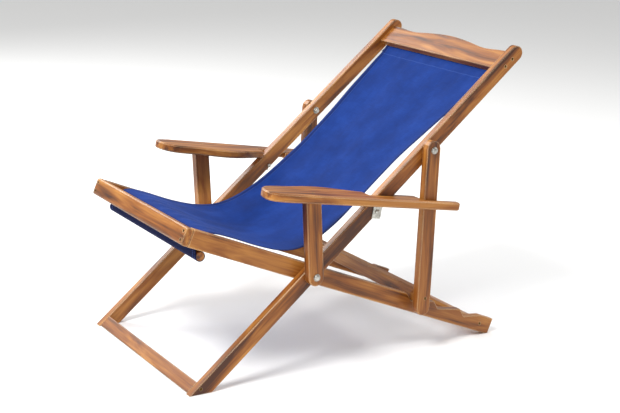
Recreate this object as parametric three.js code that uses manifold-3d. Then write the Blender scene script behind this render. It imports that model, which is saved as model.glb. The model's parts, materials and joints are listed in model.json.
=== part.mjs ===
// A folding wooden deck chair with arms and a canvas sling.
// Millimetres, +Z up. The sitter faces -Y, and +X is the sitter's left.
//
// The side view is drawn in Y and Z with the back rail's foot at the origin, then carried out
// along X. Three frames make the chair: the long back frame with its arms, the seat frame that
// turns inside it, and the prop frame behind, whose bar rests in the seat rails' notches.

import * as THREE from 'three';
import { mergeVertices } from 'three/addons/utils/BufferGeometryUtils.js';
import Module from 'manifold-3d';

const wasm = await Module();
wasm.setup();

// ---- Driving dimensions ---------------------------------------------------------------------

const frameWidth = 590; // over the two back rails
const backLean = 40.7; // degrees, back rails above the floor
const seatSlope = 21.6; // degrees, seat rails below the level towards the rear

const backRail = { length: 1298, depth: 42, thickness: 22 };
const seatRail = { front: 372, toe: 9.5, depth: 48, thickness: 22 }; // front from the pivot, toe past heel
const pivotAlong = 424; // main pivot, up the back rail from the floor
const propAlong = 899; // prop pivot, up the back rail from the floor

const propLeg = { depth: 44, thickness: 24, top: 26, tail: 50 }; // above its pivot, below the bar's middle
const propBar = { depth: 22, height: 40, ahead: 7 }; // ahead of the leg's middle line
const notch = { pitch: 105, count: 3, rise: 17, riser: 24, treadSlope: 6 }; // treadSlope in degrees

const post = { depth: 45, thickness: 24, lean: 5, foot: 24 }; // lean in degrees, foot below the pivot
const armLevel = 483; // underside of the arm above the floor, over the post
const arm = { length: 612, thickness: 22, slope: 8.5, ahead: 144 }; // ahead of the post
const armEdge = { overhang: 50, width: 102, waist: 16, bulge: 20, nose: 34, gap: 6 }; // overhang past rails

const kneeBar = { height: 48, thickness: 22, round: 8 };
const footBar = { width: 38, thickness: 20, lift: 2 };
const rearBar = { width: 40, thickness: 20, inset: 24 };
const headBoard = { low: 1206, width: 67, crest: 9, dip: 7, thickness: 20, setBack: 2 };

const sling = { sideGap: 14.4, thickness: 2.4, backPull: 360, seatPull: 40, lift: 48, rise: 62 };
const waist = { along: 800, bite: 30, radius: 2000 }; // the slack canvas draws in at its edges
const dowel = { radius: 12, overRail: 11.6, fromFront: 50, bare: 4 }; // bare past the canvas

const bolt = { shaft: 4, head: 9, dome: 4.5 };
const smallBolt = { shaft: 3, head: 6.5, dome: 3.5 };
const nut = { acrossFlats: 13, height: 6.5 };
const smallNut = { acrossFlats: 10, height: 5 };
const threadShown = 2; // bolt end past its nut
const washer = { radius: 10, thickness: 1.5 };
const screw = { shank: 2, head: 4.2, headDepth: 2.6, point: 4, bite: 26, sunk: 0.5 };
const bracket = { thickness: 2.2, width: 28, drop: 42, reach: 28, boltDown: 23 };

const clearance = 0.3; // between pieces that touch
const swingGap = 0.6; // between timbers that turn past each other
const arris = 1.6; // easing along timber edges
const barRound = 4; // rounding along the cross bars
const roundSteps = 12; // facets in a hole or on a bolt

// ---- Materials ------------------------------------------------------------------------------

const railColor = 0xb0743a;
const slatColor = 0xb87a3e;
const armColor = 0xbd8144;

function wood(color) {
  return new THREE.MeshStandardMaterial({ color, roughness: 0.5, metalness: 0 });
}

function steel() {
  return new THREE.MeshStandardMaterial({ color: 0xb9b6ac, roughness: 0.35, metalness: 1 });
}

function brass() {
  return new THREE.MeshStandardMaterial({ color: 0x8a6a3a, roughness: 0.4, metalness: 1 });
}

function canvas() {
  return new THREE.MeshStandardMaterial({ color: 0x27479b, roughness: 0.9, metalness: 0 });
}

// ---- The side view --------------------------------------------------------------------------

const radians = THREE.MathUtils.degToRad;

function direction(degrees) {
  return new THREE.Vector2(Math.cos(radians(degrees)), Math.sin(radians(degrees)));
}

// A line in the side view: positions s along it and n square to it, on its upper side.
function axisLine(start, degrees) {
  const along = direction(degrees);
  const up = direction(degrees + 90);
  const at = (s, n = 0) => start.clone().addScaledVector(along, s).addScaledVector(up, n);
  return { along, up, at };
}

// The point where two lines of the side view meet, each given by a point and a direction.
function lineMeets(p, d, q, e) {
  const across = d.x * e.y - d.y * e.x;
  const t = ((q.x - p.x) * e.y - (q.y - p.y) * e.x) / across;
  return p.clone().addScaledVector(d, t);
}

const back = axisLine(new THREE.Vector2(0, 0), backLean);
const pivot = back.at(pivotAlong);
const seat = axisLine(pivot, -seatSlope); // positive towards the rear feet
const propPivot = back.at(propAlong);
const prop = axisLine(propPivot, -90); // positive downwards, n towards the rear

// X of each layer's inner face, from the middle of the chair outwards.
const backRailX = frameWidth / 2 - backRail.thickness;
const seatRailX = backRailX - swingGap - seatRail.thickness;
const outerX = frameWidth / 2 + swingGap;
const armOuter = frameWidth / 2 + armEdge.overhang;
const armInner = armOuter - armEdge.width;
const slingHalf = seatRailX - sling.sideGap;
const dowelReach = seatRailX + dowel.overRail;

// Where the seat rail's underside comes down to the floor, and the end of the rail past it.
const heelAlong = (pivot.y - (seatRail.depth / 2) * seat.up.y) / -seat.along.y;
const seatEnd = heelAlong + seatRail.toe;

// The prop bar stands at the foot of the first riser. Treads run down to the rear from each foot.
const seatTop = seatRail.depth / 2;
const footLevel = seatTop - notch.rise;
const barFront = propPivot.x - propBar.ahead;
const firstFoot = (barFront - clearance - pivot.x - footLevel * seat.up.x) / seat.along.x;
const treadDrop = Math.tan(radians(notch.treadSlope));
const barLow = seat.at(firstFoot, footLevel).y + clearance;
const barDown = propPivot.y - barLow - propBar.height / 2;

const postLine = axisLine(pivot, 90 + post.lean);
const postTop = postLine.at((armLevel - pivot.y) / postLine.along.y);
const armLine = axisLine(postTop, -arm.slope); // along the arm's underside, positive to the rear
const crossingPoint = lineMeets(postTop, armLine.along, back.at(0), back.along);
const railCrossing = crossingPoint.distanceTo(postTop); // from the post, along the arm
const bracketBolt = armLine.at(railCrossing, -bracket.boltDown);

// ---- Outlines -------------------------------------------------------------------------------

function shapeFrom(points) {
  return new THREE.Shape(points.map((p) => new THREE.Vector2(p.x, p.y)));
}

// A closed outline through the points, with each corner rounded.
function roundedShape(points, radius) {
  const shape = new THREE.Shape();
  points.forEach((corner, i) => {
    const before = points[(i + points.length - 1) % points.length];
    const after = points[(i + 1) % points.length];
    const arrive = corner.clone().add(before.clone().sub(corner).setLength(radius));
    const leave = corner.clone().add(after.clone().sub(corner).setLength(radius));
    if (i === 0) {
      shape.moveTo(arrive.x, arrive.y);
    } else {
      shape.lineTo(arrive.x, arrive.y);
    }
    shape.quadraticCurveTo(corner.x, corner.y, leave.x, leave.y);
  });
  return shape;
}

// Corners of a rectangle on a line, from s0 to s1 along it and n0 to n1 across it.
function corners(line, s0, s1, n0, n1) {
  return [line.at(s0, n0), line.at(s1, n0), line.at(s1, n1), line.at(s0, n1)];
}

// A timber's outline with both ends half round, from centre to centre along a line.
function roundEnded(line, s0, s1, half) {
  const outline = [];
  const turns = roundSteps / 2;
  for (let i = 0; i <= turns; i += 1) {
    const angle = Math.PI * (i / turns - 0.5);
    outline.push(line.at(s1 + half * Math.cos(angle), half * Math.sin(angle)));
  }
  for (let i = 0; i <= turns; i += 1) {
    const angle = Math.PI * (i / turns + 0.5);
    outline.push(line.at(s0 + half * Math.cos(angle), half * Math.sin(angle)));
  }
  return shapeFrom(outline);
}

// ---- Solids ---------------------------------------------------------------------------------

const sideToWorld = new THREE.Matrix4().makeBasis(
  new THREE.Vector3(0, 1, 0),
  new THREE.Vector3(0, 0, 1),
  new THREE.Vector3(1, 0, 0),
);

// A shape given a thickness, its outer edges eased. The faces lie at 0 and at the thickness.
function board(shape, thickness, ease, curveSegments = roundSteps) {
  const geometry = new THREE.ExtrudeGeometry(shape, {
    depth: thickness - 2 * ease,
    bevelEnabled: ease > 0,
    bevelThickness: ease,
    bevelSize: ease,
    bevelOffset: -ease,
    bevelSegments: 1,
    curveSegments,
  });
  geometry.translate(0, 0, ease);
  return geometry;
}

// A side-view shape carried along X from one face to the other.
function sideBoard(shape, fromX, toX, ease = arris, curveSegments = roundSteps) {
  const geometry = board(shape, toX - fromX, ease, curveSegments);
  geometry.applyMatrix4(sideToWorld);
  geometry.translate(fromX, 0, 0);
  return geometry;
}

// A bar across the chair with its long edges rounded.
function crossBar(points, reach, round = barRound, ease = 0) {
  return sideBoard(roundedShape(points, round), -reach, reach, ease, 3);
}

function toManifold(geometry) {
  const bare = geometry.clone();
  bare.deleteAttribute('normal');
  bare.deleteAttribute('uv');
  const welded = mergeVertices(bare, 1e-4);
  const mesh = new wasm.Mesh({
    numProp: 3,
    vertProperties: new Float32Array(welded.attributes.position.array),
    triVerts: new Uint32Array(welded.index.array),
  });
  return new wasm.Manifold(mesh);
}

function fromManifold(solid) {
  const mesh = solid.getMesh();
  const geometry = new THREE.BufferGeometry();
  geometry.setAttribute('position', new THREE.BufferAttribute(new Float32Array(mesh.vertProperties), 3));
  geometry.setIndex(new THREE.BufferAttribute(new Uint32Array(mesh.triVerts), 1));
  geometry.computeVertexNormals();
  return geometry;
}

// The first solid less all the others.
function cut(geometry, ...tools) {
  const left = tools.reduce((solid, tool) => solid.subtract(toManifold(tool)), toManifold(geometry));
  return fromManifold(left);
}

// A cylinder along X between two X positions, round a point of the side view.
function rod(center, radius, lowX, highX, facets = roundSteps) {
  const geometry = new THREE.CylinderGeometry(radius, radius, highX - lowX, facets);
  geometry.rotateZ(-Math.PI / 2);
  geometry.translate((lowX + highX) / 2, center.x, center.y);
  return geometry;
}

// A hole's cutter, longer than the timber it goes through.
function boreThrough(center, shaft, lowX, highX) {
  return rod(center, shaft + clearance, lowX - 1, highX + 1);
}

// ---- Building -------------------------------------------------------------------------------

const chair = new THREE.Group();
chair.name = 'beach_chair';

function add(name, geometry, material) {
  const mesh = new THREE.Mesh(geometry, material);
  mesh.name = name;
  chair.add(mesh);
}

const sides = [
  { name: 'left', sign: 1 },
  { name: 'right', sign: -1 },
];

// X limits of a layer on one side of the chair, low one first.
function layer(sign, innerX, thickness) {
  return sign > 0 ? [innerX, innerX + thickness] : [-innerX - thickness, -innerX];
}

// ---- Bolts, washers and nuts ----------------------------------------------------------------

// A dome over a head of the given radius, as lathe points from the rim to the axis.
function domePoints(radius, rim, height) {
  const steps = 3;
  const points = [];
  for (let i = 0; i < steps; i += 1) {
    const turn = (i / steps) * (Math.PI / 2);
    points.push(new THREE.Vector2(radius * Math.cos(turn), rim + (height - rim) * Math.sin(turn)));
  }
  points.push(new THREE.Vector2(0, height));
  return points;
}

// A dome-headed bolt: the head seats at headX and the shank runs inwards to tipX.
function addBolt(name, size, center, headX, tipX, sign) {
  const tip = tipX - headX;
  const chamfer = 0.6;
  const profile = [
    new THREE.Vector2(0, tip),
    new THREE.Vector2(size.shaft - chamfer, tip),
    new THREE.Vector2(size.shaft, tip + chamfer),
    new THREE.Vector2(size.shaft, 0),
    new THREE.Vector2(size.head, 0),
    ...domePoints(size.head, 1, size.dome),
  ];
  const geometry = new THREE.LatheGeometry(profile, roundSteps);
  geometry.rotateZ((-sign * Math.PI) / 2);
  geometry.translate(sign * headX, center.x, center.y);
  add(name, geometry, steel());
}

// A flat ring round a bolt, from faceX outwards.
function addRing(name, outline, shaft, thickness, center, faceX, sign) {
  outline.holes.push(new THREE.Path().absarc(0, 0, shaft + clearance, 0, Math.PI * 2, true));
  const geometry = board(outline, thickness, 0);
  geometry.applyMatrix4(sideToWorld);
  geometry.translate(layer(sign, faceX, thickness)[0], center.x, center.y);
  add(name, geometry, steel());
}

function addWasher(name, center, faceX, sign) {
  const outline = new THREE.Shape().absarc(0, 0, washer.radius, 0, Math.PI * 2, false);
  addRing(name, outline, bolt.shaft, washer.thickness, center, faceX, sign);
}

function addNut(name, size, shaft, center, faceX, sign) {
  const corner = size.acrossFlats / 2 / Math.cos(Math.PI / 6);
  const points = Array.from({ length: 6 }, (_, i) => direction(60 * i).multiplyScalar(corner));
  addRing(name, shapeFrom(points), shaft, size.height, center, faceX, sign);
}

// Bolt, two washers and a nut through every timber between innerX and outerFace.
function addBoltSet(label, center, innerX, outerFace, { name, sign }) {
  const washerOut = outerFace + clearance;
  const headX = washerOut + washer.thickness + clearance;
  const washerIn = innerX - clearance - washer.thickness;
  const nutX = washerIn - clearance - nut.height;
  addBolt(`${label}_bolt_${name}`, bolt, center, headX, nutX - threadShown, sign);
  addWasher(`${label}_washer_outer_${name}`, center, washerOut, sign);
  addWasher(`${label}_washer_inner_${name}`, center, washerIn, sign);
  addNut(`${label}_nut_${name}`, nut, bolt.shaft, center, nutX, sign);
}

// ---- Screws ---------------------------------------------------------------------------------

// A countersunk wood screw, or with a clearance all round the hole it sits in.
function screwSolid(position, outward, grow = 0) {
  const shank = screw.shank + grow;
  const head = screw.head + grow;
  const end = -screw.bite - grow;
  const top = grow > 0 ? 1 : 0;
  const profile = [
    new THREE.Vector2(0, end),
    new THREE.Vector2(shank / 2, end),
    new THREE.Vector2(shank, end + screw.point),
    new THREE.Vector2(shank, -screw.headDepth - grow),
    new THREE.Vector2(head, -screw.sunk),
    new THREE.Vector2(head, top),
    new THREE.Vector2(0, top),
  ];
  const geometry = new THREE.LatheGeometry(profile, 8);
  const turn = new THREE.Quaternion().setFromUnitVectors(new THREE.Vector3(0, 1, 0), outward);
  geometry.applyQuaternion(turn);
  geometry.translate(position.x, position.y, position.z);
  return geometry;
}

// Screws are listed first, so that each timber can be cut for the ones that pass through it.
const screws = [];

function placeScrew(name, x, sidePoint, outward) {
  screws.push({ name, position: new THREE.Vector3(x, sidePoint.x, sidePoint.y), outward });
}

function screwHoles(...starts) {
  return screws
    .filter((item) => starts.some((start) => item.name.startsWith(start)))
    .map((item) => screwSolid(item.position, item.outward, clearance));
}

const headScrewRows = [0.3, 0.75]; // shares of the head board's width
const kneeScrewRows = [-0.25, 0.25]; // shares of the knee bar's height

function listScrews() {
  for (const { name, sign } of sides) {
    const outward = new THREE.Vector3(sign, 0, 0);
    const frameFace = sign * (frameWidth / 2 - screw.sunk);
    headScrewRows.forEach((share, i) => {
      const row = back.at(headBoard.low + headBoard.width * share, -headBoard.setBack);
      placeScrew(`head_screw_${name}_${i + 1}`, frameFace, row, outward);
    });
    placeScrew(`foot_screw_${name}`, frameFace, footBarMiddle, outward);

    const seatFace = sign * (seatRailX + seatRail.thickness - screw.sunk);
    placeScrew(`rear_screw_${name}`, seatFace, seat.at(rearBarMiddle), outward);

    const forward = new THREE.Vector3(0, -seat.along.x, -seat.along.y);
    kneeScrewRows.forEach((share, i) => {
      const row = seat.at(kneeFace - kneeBar.thickness + screw.sunk, kneeBar.height * share);
      placeScrew(`knee_screw_${name}_${i + 1}`, sign * (seatRailX + seatRail.thickness / 2), row, forward);
    });

    const legFace = sign * (outerX + propLeg.thickness - screw.sunk);
    placeScrew(`prop_screw_${name}`, legFace, prop.at(barDown, propBar.depth / 2 - propBar.ahead), outward);

    const upward = new THREE.Vector3(0, armLine.up.x, armLine.up.y);
    const armTop = armLine.at(0, arm.thickness - screw.sunk);
    placeScrew(`arm_screw_${name}`, sign * (outerX + post.thickness / 2), armTop, upward);
  }
}

function addScrews() {
  for (const item of screws) {
    add(item.name, screwSolid(item.position, item.outward), brass());
  }
}

// ---- Back frame -----------------------------------------------------------------------------

// The foot bar lies flush with the rails' front edge, cut level a little above the floor.
const footFront = backRail.depth / 2;
const footInner = footFront - footBar.thickness;
const footLow = (n) => (footBar.lift - n * back.up.y) / back.along.y;
const footTop = footLow(footFront) + footBar.width;
const footBarMiddle = back.at((footTop + footLow(footInner)) / 2, footFront - footBar.thickness / 2);

// A rail's side view: cut level at the foot, half round at the top.
function backRailShape() {
  const half = backRail.depth / 2;
  const slant = half / Math.tan(radians(backLean));
  const center = back.at(backRail.length - half);
  const shape = new THREE.Shape();
  const heel = back.at(slant, -half);
  const toe = back.at(-slant, half);
  shape.moveTo(toe.x, toe.y);
  shape.lineTo(heel.x, heel.y);
  shape.absarc(center.x, center.y, half, radians(backLean - 90), radians(backLean + 90), false);
  return shape;
}

function buildBackFrame() {
  for (const { name, sign } of sides) {
    const [x0, x1] = layer(sign, backRailX, backRail.thickness);
    const rail = sideBoard(backRailShape(), x0, x1);
    const holes = [
      boreThrough(pivot, bolt.shaft, x0, x1),
      boreThrough(propPivot, bolt.shaft, x0, x1),
      boreThrough(bracketBolt, smallBolt.shaft, x0, x1),
      ...screwHoles(`head_screw_${name}`, `foot_screw_${name}`),
    ];
    add(`back_rail_${name}`, cut(rail, ...holes), wood(railColor));
  }
  const reach = backRailX - clearance;
  const footCorners = [
    back.at(footLow(footInner), footInner),
    back.at(footTop, footInner),
    back.at(footTop, footFront),
    back.at(footLow(footFront), footFront),
  ];
  add('foot_bar', cut(crossBar(footCorners, reach), ...screwHoles('foot_screw')), wood(slatColor));
  add('head_board', cut(headBoardSolid(reach), ...screwHoles('head_screw')), wood(slatColor));
}

// Height of the head board's top edge at a share of the way out from the middle: a crest between
// two shallow dips.
function headBoardTop(share) {
  const crest = headBoard.crest * Math.exp(-((share / 0.34) ** 2));
  const dip = headBoard.dip * Math.exp(-(((Math.abs(share) - 0.62) / 0.2) ** 2));
  return headBoard.width + crest - dip;
}

function headBoardSolid(reach) {
  const steps = 22;
  const outline = [new THREE.Vector2(-reach, 0), new THREE.Vector2(reach, 0)];
  for (let i = 0; i <= steps; i += 1) {
    const share = 1 - (2 * i) / steps;
    outline.push(new THREE.Vector2(share * reach, headBoardTop(share)));
  }
  const geometry = board(shapeFrom(outline), headBoard.thickness, arris);
  const across = new THREE.Vector3(0, back.along.x, back.along.y);
  const outward = new THREE.Vector3(0, back.up.x, back.up.y);
  const placing = new THREE.Matrix4().makeBasis(new THREE.Vector3(1, 0, 0), across, outward);
  const corner = back.at(headBoard.low, -headBoard.thickness / 2 - headBoard.setBack);
  placing.setPosition(0, corner.x, corner.y);
  geometry.applyMatrix4(placing);
  return geometry;
}

// ---- Seat frame -----------------------------------------------------------------------------

const kneeFace = -seatRail.front - clearance;
const rearBarMiddle = seatEnd - rearBar.inset - rearBar.width / 2;

// A rail's side view: square at the knee bar, notched on top at the rear, cut level at the foot.
function seatRailShape() {
  const bottom = -seatTop;
  const points = [seat.at(-seatRail.front, bottom), seat.at(-seatRail.front, seatTop)];
  for (let i = 0; i < notch.count; i += 1) {
    const foot = firstFoot + i * notch.pitch;
    points.push(seat.at(foot - notch.riser, seatTop));
    points.push(seat.at(foot, footLevel));
  }
  const lastFoot = points[points.length - 1];
  const tread = new THREE.Vector2(1, -treadDrop);
  points.push(lineMeets(lastFoot, tread, seat.at(0, seatTop), seat.along));
  points.push(seat.at(seatEnd, seatTop));
  const onFloor = (p, d) => lineMeets(p, d, new THREE.Vector2(0, 0), new THREE.Vector2(1, 0));
  points.push(onFloor(seat.at(seatEnd, seatTop), seat.up));
  points.push(onFloor(seat.at(0, bottom), seat.along));
  return shapeFrom(points);
}

function buildSeatFrame() {
  for (const { name, sign } of sides) {
    const [x0, x1] = layer(sign, seatRailX, seatRail.thickness);
    const rail = sideBoard(seatRailShape(), x0, x1);
    const holes = [
      boreThrough(pivot, bolt.shaft, x0, x1),
      ...screwHoles(`rear_screw_${name}`, `knee_screw_${name}`),
    ];
    add(`seat_rail_${name}`, cut(rail, ...holes), wood(railColor));
  }
  const kneeHalf = kneeBar.height / 2;
  const kneeCorners = corners(seat, kneeFace - kneeBar.thickness, kneeFace, -kneeHalf, kneeHalf);
  const knee = crossBar(kneeCorners, seatRailX + seatRail.thickness, kneeBar.round, arris);
  add('knee_bar', cut(knee, ...screwHoles('knee_screw')), wood(slatColor));

  const half = rearBar.width / 2;
  const deep = rearBar.thickness / 2;
  const rearCorners = corners(seat, rearBarMiddle - half, rearBarMiddle + half, -deep, deep);
  const rear = crossBar(rearCorners, seatRailX - clearance);
  add('rear_bar', cut(rear, ...screwHoles('rear_screw')), wood(slatColor));
}

// ---- Prop frame -----------------------------------------------------------------------------

function buildPropFrame() {
  const half = propLeg.depth / 2;
  for (const { name, sign } of sides) {
    const [x0, x1] = layer(sign, outerX, propLeg.thickness);
    const outline = roundEnded(prop, half - propLeg.top, barDown + propLeg.tail - half, half);
    const holes = [boreThrough(propPivot, bolt.shaft, x0, x1), ...screwHoles(`prop_screw_${name}`)];
    add(`prop_leg_${name}`, cut(sideBoard(outline, x0, x1), ...holes), wood(railColor));
  }
  const halfBar = propBar.height / 2;
  const barRear = propBar.depth - propBar.ahead;
  const barCorners = corners(prop, barDown - halfBar, barDown + halfBar, -propBar.ahead, barRear);
  const bar = crossBar(barCorners, outerX - clearance);
  add('prop_bar', cut(bar, ...screwHoles('prop_screw')), wood(slatColor));
}

// ---- Arms and posts -------------------------------------------------------------------------

// The arm seen from above: s runs to the rear along it, w outwards across it. It is notched round
// the back rail, and behind that it is stepped outwards to clear the prop leg as it swings.
function armShape() {
  const { waist, bulge, nose, gap } = armEdge;
  const outer = armOuter;
  const inner = armInner;
  const tilt = radians(backLean + arm.slope);
  const railHalf = backRail.depth / 2 / Math.sin(tilt);
  const railShift = arm.thickness / Math.tan(tilt);
  const notchFront = railCrossing - railHalf - gap;
  const notchRear = railCrossing + railHalf + railShift + gap;
  const legFront = (propPivot.x - propLeg.depth / 2 - postTop.x) / armLine.along.x - gap;
  const front = -arm.ahead;
  const rear = front + arm.length;
  const railSide = outerX + clearance;
  const legSide = outerX + propLeg.thickness + swingGap;
  const bulgeAt = (front + notchFront) / 2 + nose;
  const widest = inner - bulge;
  const shape = new THREE.Shape();
  shape.moveTo(front, outer - nose);
  shape.bezierCurveTo(front, outer - nose / 3, front + nose / 2, outer, front + 2 * nose, outer);
  shape.lineTo(rear - 2 * gap, outer);
  shape.quadraticCurveTo(rear, outer, rear, outer - 2 * gap);
  shape.lineTo(rear, legSide);
  shape.lineTo(legFront, legSide);
  shape.lineTo(legFront, backRailX + gap);
  shape.quadraticCurveTo(legFront, backRailX, legFront - gap, backRailX);
  shape.lineTo(notchRear, backRailX);
  shape.lineTo(notchRear, railSide);
  shape.lineTo(notchFront, railSide);
  shape.lineTo(notchFront, inner + waist);
  shape.bezierCurveTo(notchFront - nose, inner + waist, bulgeAt + 1.5 * nose, widest, bulgeAt, widest);
  shape.bezierCurveTo(bulgeAt - 1.5 * nose, widest, front + 3.5 * nose, inner, front + 2 * nose, inner);
  shape.bezierCurveTo(front + nose / 2, inner, front, inner + nose, front, outer - nose);
  return shape;
}

// Places a solid drawn in (s, w) with its thickness upwards onto one side's arm line. A mirrored
// copy has its triangles turned round, so that they still face out.
function onArm(geometry, sign) {
  const along = new THREE.Vector3(0, armLine.along.x, armLine.along.y);
  const up = new THREE.Vector3(0, armLine.up.x, armLine.up.y);
  const placing = new THREE.Matrix4().makeBasis(along, new THREE.Vector3(sign, 0, 0), up);
  placing.setPosition(0, postTop.x, postTop.y);
  geometry.applyMatrix4(placing);
  if (placing.determinant() > 0) {
    return geometry;
  }
  const position = geometry.attributes.position;
  const first = new THREE.Vector3();
  const second = new THREE.Vector3();
  for (let i = 0; i < position.count; i += 3) {
    first.fromBufferAttribute(position, i + 1);
    second.fromBufferAttribute(position, i + 2);
    position.setXYZ(i + 1, second.x, second.y, second.z);
    position.setXYZ(i + 2, first.x, first.y, first.z);
  }
  return geometry;
}

// A post's side view: round at the foot and cut to the arm's slope at the top.
function postShape() {
  const half = post.depth / 2;
  const low = postLine.at(half - post.foot);
  const underArm = armLine.at(0, -clearance);
  const rearTop = lineMeets(postLine.at(0, -half), postLine.along, underArm, armLine.along);
  const frontTop = lineMeets(postLine.at(0, half), postLine.along, underArm, armLine.along);
  const shape = new THREE.Shape();
  shape.moveTo(rearTop.x, rearTop.y);
  shape.lineTo(frontTop.x, frontTop.y);
  shape.absarc(low.x, low.y, half, radians(180 + post.lean), radians(360 + post.lean), false);
  return shape;
}

// A steel angle: one leg up under the arm, the other down the back rail's outer face.
function bracketSolid(sign) {
  const innerX = frameWidth / 2 + clearance;
  const legX = innerX + bracket.thickness;
  const shelfX = innerX + bracket.reach;
  const top = -clearance;
  const shelf = top - bracket.thickness;
  const outline = shapeFrom([
    new THREE.Vector2(innerX, top),
    new THREE.Vector2(innerX, -bracket.drop),
    new THREE.Vector2(legX, -bracket.drop),
    new THREE.Vector2(legX, shelf),
    new THREE.Vector2(shelfX, shelf),
    new THREE.Vector2(shelfX, top),
  ]);
  // The outline is drawn in (w, up), so its thickness is turned to run along the arm.
  const geometry = board(outline, bracket.width, 0);
  geometry.applyMatrix4(sideToWorld);
  geometry.translate(railCrossing - bracket.width / 2, 0, 0);
  const [x0, x1] = layer(sign, innerX, bracket.thickness);
  return cut(onArm(geometry, sign), boreThrough(bracketBolt, smallBolt.shaft, x0, x1));
}

function buildArms() {
  for (const { name, sign } of sides) {
    const holes = screwHoles(`arm_screw_${name}`);
    const plank = onArm(board(armShape(), arm.thickness, 2 * arris, 6), sign);
    add(`arm_${name}`, cut(plank, ...holes), wood(armColor));

    const [x0, x1] = layer(sign, outerX, post.thickness);
    const pivotHole = boreThrough(pivot, bolt.shaft, x0, x1);
    add(`arm_post_${name}`, cut(sideBoard(postShape(), x0, x1), pivotHole, ...holes), wood(railColor));

    add(`arm_bracket_${name}`, bracketSolid(sign), steel());
    const headX = frameWidth / 2 + bracket.thickness + 2 * clearance;
    const nutX = backRailX - clearance - smallNut.height;
    addBolt(`bracket_bolt_${name}`, smallBolt, bracketBolt, headX, nutX - threadShown, sign);
    addNut(`bracket_nut_${name}`, smallNut, smallBolt.shaft, bracketBolt, nutX, sign);
  }
}

// ---- Sling ----------------------------------------------------------------------------------

// The canvas ends in a pocket round a dowel at each end. One dowel is held behind the head board
// and the other under the seat rails, just behind the knee bar.
const pocketRadius = dowel.radius + clearance + sling.thickness;
const dowelOff = pocketRadius + clearance;
const boardRear = -headBoard.thickness / 2 - headBoard.setBack;
const headDowel = back.at(headBoard.low + dowel.radius, boardRear - dowelOff);
const kneeDowel = seat.at(dowel.fromFront - seatRail.front, -seatTop - dowelOff);

// A ribbon of even thickness along a route of points.
function ribbonShape(route, thickness) {
  const upper = [];
  const lower = [];
  route.forEach((p, i) => {
    const before = route[Math.max(i - 1, 0)];
    const after = route[Math.min(i + 1, route.length - 1)];
    const run = after.clone().sub(before).setLength(thickness / 2);
    upper.push(new THREE.Vector2(p.x - run.y, p.y + run.x));
    lower.push(new THREE.Vector2(p.x + run.y, p.y - run.x));
  });
  return shapeFrom([...upper, ...lower.reverse()]);
}

// The canvas leaves the head pocket along the back of the head board, hangs slack, and drops
// between the seat rails to the knee pocket.
function slingRoute() {
  const wall = pocketRadius - sling.thickness / 2;
  const headLeave = headDowel.clone().addScaledVector(back.up, wall);
  const kneeLeave = kneeDowel.clone().addScaledVector(seat.along, -wall);
  const hang = new THREE.CubicBezierCurve(
    headLeave.clone().addScaledVector(back.along, -2 * pocketRadius),
    back.at(sling.backPull, -backRail.depth / 2),
    seat.at(sling.seatPull, sling.lift),
    seat.at(sling.rise - seatRail.front, seatTop),
  );
  return [headLeave, ...hang.getPoints(24), seat.at(sling.rise / 2 - seatRail.front, 0), kneeLeave];
}

// A wide round cutter square to the back, one for each edge of the canvas.
function waistCutter(sign) {
  const cutter = new THREE.CylinderGeometry(waist.radius, waist.radius, headBoard.low / 2, 8 * roundSteps);
  const outward = new THREE.Vector3(0, back.up.x, back.up.y);
  cutter.applyQuaternion(new THREE.Quaternion().setFromUnitVectors(new THREE.Vector3(0, 1, 0), outward));
  const middle = back.at(waist.along);
  cutter.translate(sign * (slingHalf - waist.bite + waist.radius), middle.x, middle.y);
  return cutter;
}

function buildSling() {
  const { radius } = dowel;
  const reach = dowelReach;
  const pocketReach = dowelReach - dowel.bare;
  const flat = sideBoard(ribbonShape(slingRoute(), sling.thickness), -slingHalf, slingHalf, 0);
  let canvasSolid = toManifold(cut(flat, ...sides.map(({ sign }) => waistCutter(sign))));
  for (const center of [headDowel, kneeDowel]) {
    const pocket = rod(center, pocketRadius, -pocketReach, pocketReach, 2 * roundSteps);
    const hollow = boreThrough(center, radius, -pocketReach, pocketReach);
    canvasSolid = canvasSolid.add(toManifold(pocket)).subtract(toManifold(hollow));
  }
  add('sling', fromManifold(canvasSolid), canvas());
  add('head_dowel', rod(headDowel, radius, -reach, reach), wood(slatColor));
  add('knee_dowel', rod(kneeDowel, radius, -reach, reach), wood(slatColor));
}

// ---- The finished chair ---------------------------------------------------------------------

listScrews();
buildBackFrame();
buildSeatFrame();
buildPropFrame();
buildArms();
buildSling();
for (const side of sides) {
  addBoltSet('pivot', pivot, seatRailX, outerX + post.thickness, side);
  addBoltSet('prop', propPivot, backRailX, outerX + propLeg.thickness, side);
}
addScrews();

// It stands on the floor with the middle of its footprint at the origin.
const extent = new THREE.Box3().setFromObject(chair);
chair.position.set(0, -(extent.min.y + extent.max.y) / 2, -extent.min.z);

export default chair;
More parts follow.
